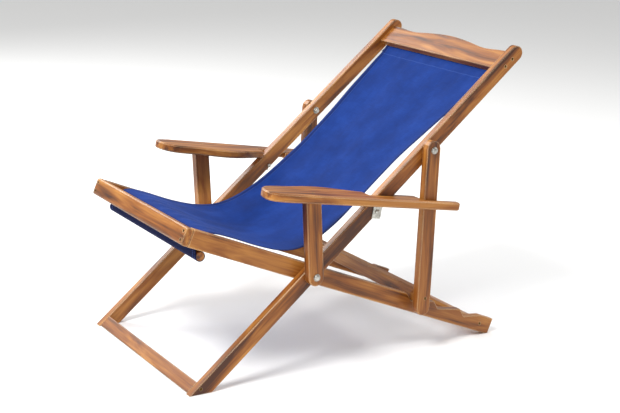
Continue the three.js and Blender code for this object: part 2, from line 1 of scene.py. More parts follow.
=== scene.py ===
import math
import bmesh
import bpy
import numpy as np
from mathutils import Matrix, Vector
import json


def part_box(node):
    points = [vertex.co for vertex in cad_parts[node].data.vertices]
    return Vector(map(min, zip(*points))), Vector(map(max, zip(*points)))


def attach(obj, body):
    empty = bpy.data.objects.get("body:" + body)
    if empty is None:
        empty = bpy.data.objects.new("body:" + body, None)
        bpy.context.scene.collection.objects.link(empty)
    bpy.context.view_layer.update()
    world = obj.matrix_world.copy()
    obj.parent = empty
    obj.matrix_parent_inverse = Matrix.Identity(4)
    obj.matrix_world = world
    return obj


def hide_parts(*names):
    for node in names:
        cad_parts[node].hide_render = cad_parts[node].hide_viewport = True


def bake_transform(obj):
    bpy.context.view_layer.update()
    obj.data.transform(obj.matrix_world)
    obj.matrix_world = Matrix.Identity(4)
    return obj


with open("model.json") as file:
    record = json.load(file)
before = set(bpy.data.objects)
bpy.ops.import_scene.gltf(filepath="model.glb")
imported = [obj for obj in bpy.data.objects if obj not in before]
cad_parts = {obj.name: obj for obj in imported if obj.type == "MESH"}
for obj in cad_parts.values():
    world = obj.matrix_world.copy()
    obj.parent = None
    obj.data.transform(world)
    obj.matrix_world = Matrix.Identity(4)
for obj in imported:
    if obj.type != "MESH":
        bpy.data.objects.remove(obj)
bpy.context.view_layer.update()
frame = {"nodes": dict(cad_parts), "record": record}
bodyOf = {name: body for body, names in frame["record"]["behaviour"]["bodies"].items() for name in names}


# Slopes in the side view, in degrees up towards the rear.
slopes = {"backRail": 40.7, "seatRail": -21.6, "propLeg": 90.0, "armPost": 95.0, "arm": -8.5}


def srgb(hexText, alpha=1.0):  # a hex colour to the linear values that a shader takes
    parts = [int(hexText[i:i + 2], 16) / 255 for i in (1, 3, 5)]
    return tuple(c / 12.92 if c <= 0.04045 else ((c + 0.055) / 1.055) ** 2.4 for c in parts) + (alpha,)


def addNode(tree, kind, settings=None, links=None):
    made = tree.nodes.new(kind)
    for key, value in (settings or {}).items():
        if isinstance(key, int) or key in made.inputs:
            made.inputs[key].default_value = value
        else:
            setattr(made, key, value)
    for key, source in (links or {}).items():
        tree.links.new(source, made.inputs[key])
    return made


def newMaterial(name):
    made = bpy.data.materials.new(name)
    made.use_nodes = True
    made.node_tree.nodes.clear()
    return made, made.node_tree


def setRamp(ramp, stops):  # stops are (position, colour) from left to right
    elements = ramp.color_ramp.elements
    while len(elements) < len(stops):
        elements.new(0.5)
    for element, (position, colour) in zip(elements, stops):
        element.position = position
        element.color = colour


# Oiled hardwood, planed and brushed with oil: open fibres along the timber, wide soft figure,
# a few dark knots, and a painted highlight that turns the edges pale.
woodLook = {
    "pale": "#be8139",
    "middle": "#94571c",
    "dark": "#4c260d",
    "toneStops": (0.24, 0.45, 0.68),  # where dark, middle and pale stand
    "knot": "#2e150a",
    "stain": "#b98a5c",
    # painted highlight: the pale colour laid along the timbers' edges
    "paintedEdgeHighlight": "#ecd0a2",
    "fibreWidth": 0.0045,  # fibre streaks, drawn wider than the 1 mm pores so that they show
    "fibreStretch": 0.035,
    "fibreShare": 0.45,
    "figureWidth": 0.030,
    "figureStretch": 0.12,
    "ringShare": 0.16,
    "toneShift": -0.33,
    "blotchesPerMetre": 6,
    "knotSpacing": 0.24,
    "knotStretch": 0.55,
    "knotWander": 0.012,
    "knotEdge": (0.045, 0.085),  # full and gone, as shares of knotSpacing
    "edgeRadius": 0.0028,
    "edgeTurn": (0.985, 0.87),  # likeness of the two normals where the painted edge highlight starts and is full
    "gloss": (0.30, 0.52),  # roughness of the darker streaks and of the paler ones
    "grainDepth": 0.0006,
}


def oiledHardwood(name, turn, shift, tone):
    look = woodLook
    made, tree = newMaterial(name)
    place = addNode(tree, "ShaderNodeTexCoord")
    aligned = addNode(tree, "ShaderNodeMapping", {"Location": shift, "Rotation": turn},
                      {"Vector": place.outputs["Object"]}).outputs["Vector"]
    stretched = addNode(tree, "ShaderNodeMapping", {"Scale": (1, look["fibreStretch"], 1)},
                        {"Vector": aligned}).outputs["Vector"]
    fibre = addNode(tree, "ShaderNodeTexNoise",
                    {"Scale": 1 / look["fibreWidth"], "Detail": 5, "Roughness": 0.62},
                    {"Vector": stretched}).outputs["Fac"]
    slow = addNode(tree, "ShaderNodeMapping", {"Scale": (1, look["figureStretch"], 1)},
                   {"Vector": aligned}).outputs["Vector"]
    figure = addNode(tree, "ShaderNodeTexNoise",
                     {"Scale": 1 / look["figureWidth"], "Detail": 3, "Distortion": 0.9},
                     {"Vector": slow}).outputs["Fac"]
    rings = addNode(tree, "ShaderNodeTexWave",
                    {"Scale": 0.35 / look["figureWidth"], "Distortion": 7, "Detail": 2,
                     "Detail Scale": 1.4}, {"Vector": slow}).outputs["Fac"]
    blotch = addNode(tree, "ShaderNodeTexNoise", {"Scale": look["blotchesPerMetre"], "Detail": 2},
                     {"Vector": aligned})
    grained = addNode(tree, "ShaderNodeMath", {"operation": "MULTIPLY_ADD", 1: look["fibreShare"]},
                      {0: fibre, 2: figure}).outputs[0]
    ringed = addNode(tree, "ShaderNodeMath", {"operation": "MULTIPLY_ADD", 1: look["ringShare"]},
                     {0: rings, 2: grained}).outputs[0]
    level = addNode(tree, "ShaderNodeMath", {"operation": "ADD", 1: tone + look["toneShift"]}, {0: ringed})
    ramp = addNode(tree, "ShaderNodeValToRGB", {}, {"Fac": level.outputs[0]})
    setRamp(ramp, list(zip(look["toneStops"], (srgb(look[key]) for key in ("dark", "middle", "pale")))))

    # knots: small dark rounds, long along the grain, about one in every stretch of knotSpacing
    knotPlace = addNode(tree, "ShaderNodeMapping", {"Scale": (1, look["knotStretch"], 1)},
                        {"Vector": aligned}).outputs["Vector"]
    warped = addNode(tree, "ShaderNodeVectorMath",
                     {"operation": "MULTIPLY_ADD", 1: (look["knotWander"],) * 3},
                     {0: blotch.outputs["Color"], 2: knotPlace}).outputs[0]
    cells = addNode(tree, "ShaderNodeTexVoronoi", {"Scale": 1 / look["knotSpacing"]}, {"Vector": warped})
    knotFull, knotGone = look["knotEdge"]
    knot = addNode(tree, "ShaderNodeMapRange",
                   {"From Min": knotFull, "From Max": knotGone, "To Min": 0.85, "To Max": 0},
                   {"Value": cells.outputs["Distance"]}).outputs[0]
    knotted = addNode(tree, "ShaderNodeMix", {"data_type": "RGBA", 7: srgb(look["knot"])},
                      {0: knot, 6: ramp.outputs["Color"]}).outputs[2]
    shade = addNode(tree, "ShaderNodeMapRange",
                    {"From Min": 0.3, "From Max": 0.7, "To Min": 0.0, "To Max": 0.34},
                    {"Value": blotch.outputs["Fac"]}).outputs[0]
    stained = addNode(tree, "ShaderNodeMix",
                      {"data_type": "RGBA", "blend_type": "MULTIPLY", 7: srgb(look["stain"])},
                      {0: shade, 6: knotted}).outputs[2]

    # painted highlight: edges turned pale where a rounded normal leaves the flat one
    rounded = addNode(tree, "ShaderNodeBevel",
                      {"samples": 4, "Radius": look["edgeRadius"]}).outputs["Normal"]
    flat = addNode(tree, "ShaderNodeNewGeometry").outputs["Normal"]
    likeness = addNode(tree, "ShaderNodeVectorMath", {"operation": "DOT_PRODUCT"}, {0: rounded, 1: flat})
    turnStart, turnFull = look["edgeTurn"]
    edge = addNode(tree, "ShaderNodeMapRange",
                   {"From Min": turnStart, "From Max": turnFull, "To Min": 0, "To Max": 0.95},
                   {"Value": likeness.outputs["Value"]}).outputs[0]
    highlightPatchiness = addNode(tree, "ShaderNodeMapRange",
                  {"From Min": 0.3, "From Max": 0.6, "To Min": 0.35, "To Max": 1.0},
                  {"Value": figure}).outputs[0]
    paintedHighlightMask = addNode(tree, "ShaderNodeMath", {"operation": "MULTIPLY"}, {0: edge, 1: highlightPatchiness}).outputs[0]
    withPaintedHighlight = addNode(tree, "ShaderNodeMix", {"data_type": "RGBA", 7: srgb(look["paintedEdgeHighlight"])},
                   {0: paintedHighlightMask, 6: stained}).outputs[2]

    glossy, dull = look["gloss"]
    gloss = addNode(tree, "ShaderNodeMapRange",
                    {"From Min": 0.3, "From Max": 0.7, "To Min": glossy, "To Max": dull},
                    {"Value": fibre}).outputs[0]
    bump = addNode(tree, "ShaderNodeBump", {"Strength": 0.35, "Distance": look["grainDepth"]},
                   {"Height": fibre, "Normal": rounded}).outputs[0]
    shader = addNode(tree, "ShaderNodeBsdfPrincipled", {"IOR": 1.5, "Specular IOR Level": 0.45},
                     {"Base Color": withPaintedHighlight, "Roughness": gloss, "Normal": bump})
    addNode(tree, "ShaderNodeOutputMaterial", {}, {"Surface": shader.outputs[0]})
    return made


# Grain runs along each timber, so its pattern is turned by the timber's slope in the side view.
grain = {
    "slopeOf": {"back_rail": "backRail", "seat_rail": "seatRail", "prop_leg": "propLeg",
                "arm_post": "armPost", "arm_left": "arm", "arm_right": "arm"},
    "across": ("head_board", "foot_bar", "knee_bar", "rear_bar", "prop_bar", "head_dowel", "knee_dowel"),
    "tones": (0.02, -0.03, 0.05, 0.0, -0.05, 0.03),  # small differences from timber to timber
    "step": (0.37, 1.31, 0.53),  # from one timber's place in the pattern to the next one's
}


def giveMaterial(node, material):
    slots = frame["nodes"][node].data.materials
    slots.clear()
    slots.append(material)


def finishTimbers():
    subparts = frame["record"]["subparts"]
    timbers = sorted(row["node"] for row in subparts if row["material_slot"] == "wood")
    made = {}
    for number, node in enumerate(timbers):
        if node in grain["across"]:
            turn = (0, 0, math.pi / 2)
        else:
            slope = next(slopes[key] for start, key in grain["slopeOf"].items() if node.startswith(start))
            turn = (-math.radians(slope), 0, 0)
        tone = grain["tones"][number % len(grain["tones"])]
        shift = tuple(step * number for step in grain["step"])
        made[node] = oiledHardwood(f"oiledHardwood_{node}", turn, shift, tone)
        giveMaterial(node, made[node])
    print("timbers:", len(timbers), "finished in oiled hardwood")
    return made


# Zinc-plated steel is bright and a little clouded by weather. Brass is turned and left to
# tarnish, so it is brown.
metalLooks = {
    "zincPlatedSteel": {"cloudsPerMetre": 180, "detail": 4, "dull": "#8f8d86", "bright": "#d9d7cf",
                        "stops": (0.3, 0.7), "roughness": (0.24, 0.5)},
    "tarnishedBrass": {"cloudsPerMetre": 260, "detail": 3, "dull": "#4a3318", "bright": "#8d6c38",
                       "stops": (0.35, 0.7), "roughness": (0.35, 0.6)},
}


def cloudedMetal(name):
    look = metalLooks[name]
    made, tree = newMaterial(name)
    place = addNode(tree, "ShaderNodeTexCoord")
    cloud = addNode(tree, "ShaderNodeTexNoise", {"Scale": look["cloudsPerMetre"], "Detail": look["detail"]},
                    {"Vector": place.outputs["Object"]}).outputs["Fac"]
    tint = addNode(tree, "ShaderNodeValToRGB", {}, {"Fac": cloud})
    setRamp(tint, list(zip(look["stops"], (srgb(look["dull"]), srgb(look["bright"])))))
    smoothest, roughest = look["roughness"]
    gloss = addNode(tree, "ShaderNodeMapRange", {"To Min": smoothest, "To Max": roughest}, {"Value": cloud})
    shader = addNode(tree, "ShaderNodeBsdfPrincipled", {"Metallic": 1.0},
                     {"Base Color": tint.outputs["Color"], "Roughness": gloss.outputs[0]})
    addNode(tree, "ShaderNodeOutputMaterial", {}, {"Surface": shader.outputs[0]})
    return made


# Plain-woven cotton canvas, dyed blue: a matt face with uneven yarns, faint cloudy patches, and
# pale thread where the hems are sewn. The map gives metres across and along.
canvasLook = {
    "deep": "#13347d",
    "face": "#193d8c",
    "shadowed": "#0f2a68",
    "dyeStops": (0.50, 0.80, 1.0),  # where shadowed, deep and face stand
    # painted shade: the dark navy laid on the pockets and side hems
    "paintedShade": "#0c1440",
    "thread": "#36539c",
    "fuzz": "#7d98d8",
    "yarn": 0.0024,  # yarn spacing, drawn at twice the real 1.2 mm so that it shows
    "slubLength": 0.03,
    "slubsPerYarn": 0.9,  # side by side, to one yarn spacing
    "slubShare": 0.30,
    "weaveShare": 0.06,
    "cloudsPerMetre": 9,
    "weaveDepth": 0.0005,
    "stitch": 0.0045,
    "stitchGap": -0.35,
    "stitchWidth": 0.0010,
    "hemRows": (0.004, 0.016),  # from the edge
}


def wovenCanvas(name, seams, halfFlat):
    look = canvasLook
    made, tree = newMaterial(name)
    flatMap = addNode(tree, "ShaderNodeUVMap", {"uv_map": "clothMap"}).outputs[0]
    parts = addNode(tree, "ShaderNodeSeparateXYZ", {}, {"Vector": flatMap})
    across, along = parts.outputs[0], parts.outputs[1]
    yarnRate = math.pi / look["yarn"]

    def wave(source, rate):  # sin(rate * source)
        angle = addNode(tree, "ShaderNodeMath", {"operation": "MULTIPLY_ADD", 1: rate, 2: 0.0}, {0: source})
        return addNode(tree, "ShaderNodeMath", {"operation": "SINE"}, {0: angle.outputs[0]}).outputs[0]

    weave = addNode(tree, "ShaderNodeMath", {"operation": "MULTIPLY"},
                    {0: wave(across, yarnRate), 1: wave(along, yarnRate)}).outputs[0]
    slubs = []
    slender = look["yarn"] / look["slubLength"]
    for stretch in ((1, slender, 1), (slender, 1, 1)):
        pulled = addNode(tree, "ShaderNodeMapping", {"Scale": stretch}, {"Vector": flatMap}).outputs[0]
        slubs.append(addNode(tree, "ShaderNodeTexNoise",
                             {"Scale": look["slubsPerYarn"] / look["yarn"], "Detail": 2},
                             {"Vector": pulled}).outputs["Fac"])
    yarns = addNode(tree, "ShaderNodeMath", {"operation": "ADD"}, {0: slubs[0], 1: slubs[1]}).outputs[0]
    cloud = addNode(tree, "ShaderNodeTexNoise",
                    {"Scale": look["cloudsPerMetre"], "Detail": 4, "Roughness": 0.6},
                    {"Vector": flatMap}).outputs["Fac"]
    mixed = addNode(tree, "ShaderNodeMath", {"operation": "MULTIPLY_ADD", 1: look["slubShare"]},
                    {0: yarns, 2: cloud}).outputs[0]
    toned = addNode(tree, "ShaderNodeMath", {"operation": "MULTIPLY_ADD", 1: look["weaveShare"]},
                    {0: weave, 2: mixed}).outputs[0]
    dye = addNode(tree, "ShaderNodeValToRGB", {}, {"Fac": toned})
    setRamp(dye, list(zip(look["dyeStops"], (srgb(look[key]) for key in ("shadowed", "deep", "face")))))

    # sewing: dashed lines down each side hem and across each pocket
    def nearLine(source, position):  # 1 within stitchWidth of the position
        offset = addNode(tree, "ShaderNodeMath", {"operation": "SUBTRACT", 1: position}, {0: source})
        away = addNode(tree, "ShaderNodeMath", {"operation": "ABSOLUTE"}, {0: offset.outputs[0]})
        return addNode(tree, "ShaderNodeMath", {"operation": "LESS_THAN", 1: look["stitchWidth"]},
                       {0: away.outputs[0]}).outputs[0]

    def dashes(line, source):  # the line where a wave one stitch long stands above stitchGap
        on = addNode(tree, "ShaderNodeMath", {"operation": "GREATER_THAN", 1: look["stitchGap"]},
                     {0: wave(source, 2 * math.pi / look["stitch"])})
        return addNode(tree, "ShaderNodeMath", {"operation": "MULTIPLY"},
                       {0: line, 1: on.outputs[0]}).outputs[0]

    outward = addNode(tree, "ShaderNodeMath", {"operation": "ABSOLUTE"}, {0: across}).outputs[0]
    rows = [dashes(nearLine(outward, halfFlat - inset), along) for inset in look["hemRows"]]
    rows += [dashes(nearLine(along, position), across) for position in seams]
    sewn = rows[0]
    for row in rows[1:]:
        sewn = addNode(tree, "ShaderNodeMath", {"operation": "MAXIMUM"}, {0: sewn, 1: row}).outputs[0]
    # painted shade: darker navy mixed in on the pockets and side hems
    paintedShadeAmount = addNode(tree, "ShaderNodeAttribute", {"attribute_name": "paintedShade"}).outputs["Fac"]
    dyed = addNode(tree, "ShaderNodeMix", {"data_type": "RGBA", 7: srgb(look["paintedShade"])},
                   {0: paintedShadeAmount, 6: dye.outputs["Color"]}).outputs[2]
    colour = addNode(tree, "ShaderNodeMix", {"data_type": "RGBA", 7: srgb(look["thread"])},
                     {0: sewn, 6: dyed}).outputs[2]
    height = addNode(tree, "ShaderNodeMath", {"operation": "MULTIPLY_ADD", 1: 0.5},
                     {0: weave, 2: yarns}).outputs[0]
    raised = addNode(tree, "ShaderNodeMath", {"operation": "ADD"}, {0: height, 1: sewn}).outputs[0]
    bump = addNode(tree, "ShaderNodeBump", {"Strength": 0.5, "Distance": look["weaveDepth"]},
                   {"Height": raised}).outputs[0]
    shader = addNode(tree, "ShaderNodeBsdfPrincipled",
                     {"Roughness": 0.88, "IOR": 1.46, "Specular IOR Level": 0.2, "Sheen Weight": 0.07,
                      "Sheen Roughness": 0.5, "Sheen Tint": srgb(look["fuzz"])},
                     {"Base Color": colour, "Normal": bump})
    addNode(tree, "ShaderNodeOutputMaterial", {}, {"Surface": shader.outputs[0]})
    return made


# A grid of points to a mesh: point (row, column) is a corner of the faces between it and its
# neighbours. closeRows and closeColumns join the last line of points to the first.
def gridObject(name, points, closeRows=False, closeColumns=False, smooth=True):
    rows, columns = points.shape[:2]
    index = np.arange(rows * columns).reshape(rows, columns)
    if closeRows:
        index = np.vstack([index, index[:1]])
    if closeColumns:
        index = np.hstack([index, index[:, :1]])
    corners = [index[:-1, :-1], index[1:, :-1], index[1:, 1:], index[:-1, 1:]]
    faces = np.stack(corners, axis=-1).reshape(-1, 4)
    mesh = bpy.data.meshes.new(name)
    mesh.from_pydata(points.reshape(-1, 3).tolist(), [], faces.tolist())
    mesh.update()
    made = bpy.data.objects.new(name, mesh)
    bpy.context.scene.collection.objects.link(made)
    if smooth:
        mesh.polygons.foreach_set("use_smooth", np.ones(len(mesh.polygons), bool))
    return made


def closeSolid(made, sharp=35):  # merges poles and seams, turns faces outwards, marks sharp edges
    work = bmesh.new()
    work.from_mesh(made.data)
    bmesh.ops.remove_doubles(work, verts=work.verts, dist=1e-6)
    bmesh.ops.dissolve_degenerate(work, edges=work.edges, dist=1e-7)
    bmesh.ops.recalc_face_normals(work, faces=work.faces)
    for edge in work.edges:
        if len(edge.link_faces) == 2 and edge.calc_face_angle(0) > math.radians(sharp):
            edge.smooth = False
    work.to_mesh(made.data)
    work.free()


def readPoints(mesh):
    points = np.empty(len(mesh.vertices) * 3)
    mesh.vertices.foreach_get("co", points)
    return points.reshape(-1, 3)


def writePoints(mesh, points):
    mesh.vertices.foreach_set("co", points.reshape(-1))


def boxOf(node):  # lowest corner, highest corner and middle of a node
    low, high = (np.array(corner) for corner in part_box(node))
    return low, high, (low + high) / 2


# A profile of radius and distance carried round an axis. Each point is
# centre + distance * axis + radius * (cos(angle) * sideways + sin(angle) * other).
# stretch(angle) multiplies the radius, which makes a hexagon of a circle.
def turnedPiece(name, profile, centre, axis, stretch=None, steps=48, closed=False):
    axis = np.array(axis, float) / np.linalg.norm(axis)
    helper = np.array([0.0, 0.0, 1.0]) if abs(axis[2]) < 0.9 else np.array([1.0, 0.0, 0.0])
    sideways = np.cross(helper, axis)
    sideways /= np.linalg.norm(sideways)
    other = np.cross(axis, sideways)
    angle = np.linspace(0, 2 * np.pi, steps, endpoint=False)
    stretched = np.ones(steps) if stretch is None else stretch(angle)
    radius = np.array([p[0] for p in profile])[:, None] * stretched
    distance = np.array([p[1] for p in profile])[:, None]
    ring = np.cos(angle)[:, None] * sideways + np.sin(angle)[:, None] * other
    points = np.array(centre) + distance[..., None] * axis + radius[..., None] * ring
    made = gridObject(name, points, closeRows=closed, closeColumns=True)
    closeSolid(made)
    return made


def settle(made, material, node, body):
    made.data.materials.append(material)
    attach(made, body)
    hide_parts(node)


hardware = {
    "bolts": {  # shaft radius, head radius, dome height
        "pivot_bolt": (0.004, 0.009, 0.0045),
        "prop_bolt": (0.004, 0.009, 0.0045),
        "bracket_bolt": (0.003, 0.0065, 0.0035),
    },
    "domeSteps": 8,
    "domeRim": 0.001,
    "shaftEnd": 0.0006,
    "holeGap": 0.0003,
    "ringEase": 0.15,  # of a washer's or nut's thickness
    "nutFace": 0.86,  # a nut's flat face over its whole width
    "screwShank": ((0, -0.026), (0.001, -0.026), (0.002, -0.022), (0.002, -0.0026)),
    "screwRim": (-0.0005, -0.0001),
    "headShare": 0.985,  # of the widest part of the screw's solid
    "slotWidth": 0.0011,
    "slotDepth": 0.0009,
    "slotTurn": (0.3, 0.5, 0.8),
}


# A bolt's profile: shaft up from its tip, flat under the head, and a dome of
# radius head * cos(t) and rise domeRim + (dome - domeRim) * sin(t).
def makeBolts(steel):
    count = 0
    for kind, (shaft, head, dome) in hardware["bolts"].items():
        for side, sign in (("left", 1), ("right", -1)):
            node = f"{kind}_{side}"
            low, high, middle = boxOf(node)
            tip, top = (low[0], high[0]) if sign > 0 else (high[0], low[0])
            length = abs(top - tip)
            rim, end = hardware["domeRim"], hardware["shaftEnd"]
            domeFoot = length - dome
            profile = [(0, 0), (shaft - end, 0), (shaft, end), (shaft, domeFoot), (head, domeFoot)]
            profile += [(head * math.cos(t), domeFoot + rim + (dome - rim) * math.sin(t))
                        for t in np.linspace(0, math.pi / 2, hardware["domeSteps"])]
            profile[-1] = (0, length)
            made = turnedPiece(f"{node}_turned", profile, (tip, middle[1], middle[2]), (sign, 0, 0))
            settle(made, steel, node, bodyOf[node])
            count += 1
    return count


def hexagon(angle):  # distance to a hexagon's side over the distance to its corner
    return math.cos(math.pi / 6) / np.cos((angle % (math.pi / 3)) - math.pi / 6)


# Washers and nuts: a closed ring of a profile from the bore out to the rim and back.
def makeRings(steel):
    count = 0
    for node in sorted(frame["nodes"]):
        isWasher = "washer" in node
        if not isWasher and "_nut_" not in node:
            continue
        low, high, middle = boxOf(node)
        thick = high[0] - low[0]
        kind = "bracket_bolt" if node.startswith("bracket") else "pivot_bolt"
        hole = hardware["bolts"][kind][0] + hardware["holeGap"]
        outer = max(high[1] - low[1], high[2] - low[2]) / 2
        ease = hardware["ringEase"] * thick
        face = outer - ease if isWasher else outer * hardware["nutFace"]
        profile = [(hole, 0), (face, 0), (outer, ease), (outer, thick - ease), (face, thick), (hole, thick)]
        foot = (low[0], middle[1], middle[2])
        stretch = None if isWasher else hexagon
        made = turnedPiece(f"{node}_turned", profile, foot, (1, 0, 0), stretch, closed=True)
        if not isWasher:
            # the hexagon's stretch is taken off the bore, which is round
            points = readPoints(made.data)
            offset = points[:, 1:] - middle[1:]
            distance = np.linalg.norm(offset, axis=1)
            bore = distance < hole * 1.02
            points[bore, 1:] = middle[1:] + offset[bore] / distance[bore, None] * hole
            writePoints(made.data, points)
        settle(made, steel, node, bodyOf[node])
        count += 1
    return count


# A screw's axis is the longest direction of its solid, and its head is at the wider end.
def screwAxis(node):
    points = readPoints(frame["nodes"][node].data)
    middle = points.mean(axis=0)
    outward = np.linalg.svd(points - middle, full_matrices=False)[2][0]
    reach = (points - middle) @ outward
    width = np.linalg.norm((points - middle) - reach[:, None] * outward, axis=1)
    if width[reach > 0].max() < width[reach < 0].max():
        outward, reach = -outward, -reach
    return middle + outward * reach.max(), outward, width.max()


# A countersunk head and shank. The top is a disc of polar points, lowered by slotDepth where a
# point lies within half a slotWidth of the slot's middle line.
def makeScrews(brass):
    count = 0
    for node in sorted(name for name in frame["nodes"] if "screw" in name):
        top, outward, widest = screwAxis(node)
        head = widest * hardware["headShare"]
        profile = list(hardware["screwShank"]) + [(head, rise) for rise in hardware["screwRim"]]
        profile += [(head * share, 0) for share in np.linspace(0.95, 0, 14)]
        made = turnedPiece(f"{node}_turned", profile, top, outward, steps=40)
        points = readPoints(made.data)
        offset = points - top
        slotSide = np.cross(outward, hardware["slotTurn"])
        slotSide /= np.linalg.norm(slotSide)
        inSlot = (offset @ outward > -0.00005) & (np.abs(offset @ slotSide) < hardware["slotWidth"] / 2)
        points[inSlot] -= outward * hardware["slotDepth"]
        writePoints(made.data, points)
        settle(made, brass, node, bodyOf[node])
        count += 1
    return count


dowels = {"radius": 0.012, "ease": 0.002, "easeSteps": 5}


# A dowel's profile: a straight side between two quarter-round ends.
def makeDowels(woods):
    radius, ease = dowels["radius"], dowels["ease"]
    turn = np.linspace(0, math.pi / 2, dowels["easeSteps"])
    start = [(radius - ease + ease * math.sin(t), ease - ease * math.cos(t)) for t in turn]
    for node in ("head_dowel", "knee_dowel"):
        low, high, middle = boxOf(node)
        length = high[0] - low[0]
        end = [(r, length - d) for r, d in reversed(start)]
        profile = [(0, 0)] + start + end + [(0, length)]
        made = turnedPiece(f"{node}_turned", profile, (low[0], middle[1], middle[2]), (1, 0, 0))
        settle(made, woods[node], node, bodyOf[node])


# The canvas. Its side view is one path: up behind the head dowel and round it, down the slack
# hang, round the knee dowel and back to its seam. Lengths in metres, in the chair's frame.
canvas = {
    "loop": 0.0131,  # from a dowel's middle to the middle of the cloth
    "ply": 0.0017,  # from one layer to the next at a seam
    "seam": 0.034,  # from a dowel's middle to its seam
    "headTurn": (138, 450),  # degrees round each dowel where the cloth meets it and leaves it
    "kneeTurn": (180, 478),
    "hangFrom": 2.2,  # times loop, from the head dowel's middle to the start of the hang
    "hangPulls": ((-0.1820, 0.2188), (-0.0922, 0.3064)),
    "kneeBend": (-0.4265, 0.4129),
    "kneeDrop": (-0.4643, 0.4020),
    "kneeLap": (0.0008, 0.003),  # the flap's end, past one ply: back along the rail, and down
    "bendRows": (14, 9),  # rows smoothed before and after the knee bend
    "bendPasses": 14,
    "thickness": 0.0013,
    "rowStep": 0.0055,
    "columns": 72,
    "pocketHalf": 0.2615,
    "bodyHalf": 0.2435,
    "headHalf": 0.2500,
    "waist": 0.039,
    "waistFrom": 0.05,
    "waistTo": 0.80,
    "flapNarrows": (0.036, 0.0265),  # before the end of the cloth
    "hemWidth": 0.018,
    "hemRise": 0.0007,
    "bag": 0.010,  # how far the middle hangs below the edges
    "curl": 0.010,
    "fold": 0.0030,
    "foldWaves": (  # share, turn across, turn along, turn with the drift, start
        (0.55, 6.1, 0, 2.2, 0.4),
        (0.30, 13.7, 0, -3.1, 1.9),
        (0.22, 4.1, 23, 0, 0.8),
        (0.12, -6.5, 41, 0, 0),
    ),
    "crease": 0.0011,
    "creaseReach": (0.09, 0.07),  # from the head and from the knee, in body lengths
    "endRows": (0.004, 0.010),  # rows of stitches, from each end of the cloth
    "pocketRows": (0.022, 0.052),  # and past the head loop and the knee bend
}


# Round a dowel the path is centre + loop * (cos(turn) * along + sin(turn) * up). The hang is a
# cubic curve: its start, two pulls and its end, times (1 - t)^3, 3(1 - t)^2 t, 3(1 - t)t^2 and t^3.
def canvasPath():
    lines = {}
    for node, rail in (("head_dowel", "backRail"), ("knee_dowel", "seatRail")):
        lean = math.radians(slopes[rail])
        lines[node] = (boxOf(node)[2][1:], np.array([math.cos(lean), math.sin(lean)]),
                       np.array([-math.sin(lean), math.cos(lean)]))
    loop, ply, seam = canvas["loop"], canvas["ply"], canvas["seam"]

    def around(node, turns):
        centre, along, up = lines[node]
        turn = np.radians(np.linspace(*turns, 60))
        return centre + loop * (np.cos(turn)[:, None] * along + np.sin(turn)[:, None] * up)

    centre, along, up = lines["head_dowel"]
    headSeam = centre - seam * along + (loop - ply) * up
    hangStart = centre - canvas["hangFrom"] * loop * along + loop * up
    t = np.linspace(0, 1, 400)[:, None]
    pullA, pullB = (np.array(p) for p in canvas["hangPulls"])
    bend = np.array(canvas["kneeBend"])
    hang = ((1 - t) ** 3 * hangStart + 3 * (1 - t) ** 2 * t * pullA
            + 3 * (1 - t) * t ** 2 * pullB + t ** 3 * bend)
    kneeAlong, kneeUp = lines["knee_dowel"][1:]
    lapBack, lapDown = canvas["kneeLap"]
    kneeSeam = np.array(canvas["kneeDrop"]) + (ply + lapBack) * kneeAlong - lapDown * kneeUp
    path = np.vstack([headSeam, around("head_dowel", canvas["headTurn"]), hang, canvas["kneeDrop"],
                      around("knee_dowel", canvas["kneeTurn"]), kneeSeam])
    # even steps along the path, then a little smoothing so that the knee bend is round
    steps = np.linalg.norm(np.diff(path, axis=0), axis=1)
    length = np.concatenate([[0], np.cumsum(steps)])
    even = np.linspace(0, length[-1], int(length[-1] / canvas["rowStep"]) + 1)
    path = np.column_stack([np.interp(even, length, path[:, i]) for i in (0, 1)])
    smooth = path.copy()
    kneeRow = np.argmin(np.linalg.norm(path - bend, axis=1))
    before, after = canvas["bendRows"]
    zone = np.zeros(len(path))
    zone[kneeRow - before:kneeRow + after] = 1
    for _ in range(canvas["bendPasses"]):
        middle = (smooth[:-2] + smooth[2:]) / 2
        smooth[1:-1] += (0.5 * zone[1:-1])[:, None] * (middle - smooth[1:-1])
    return even, smooth, even[kneeRow]


def smoothStep(low, high, x):  # 0 up to low, 1 from high, and t * t * (3 - 2 * t) between them
    t = np.clip((x - low) / (high - low), 0, 1)
    return t * t * (3 - 2 * t)


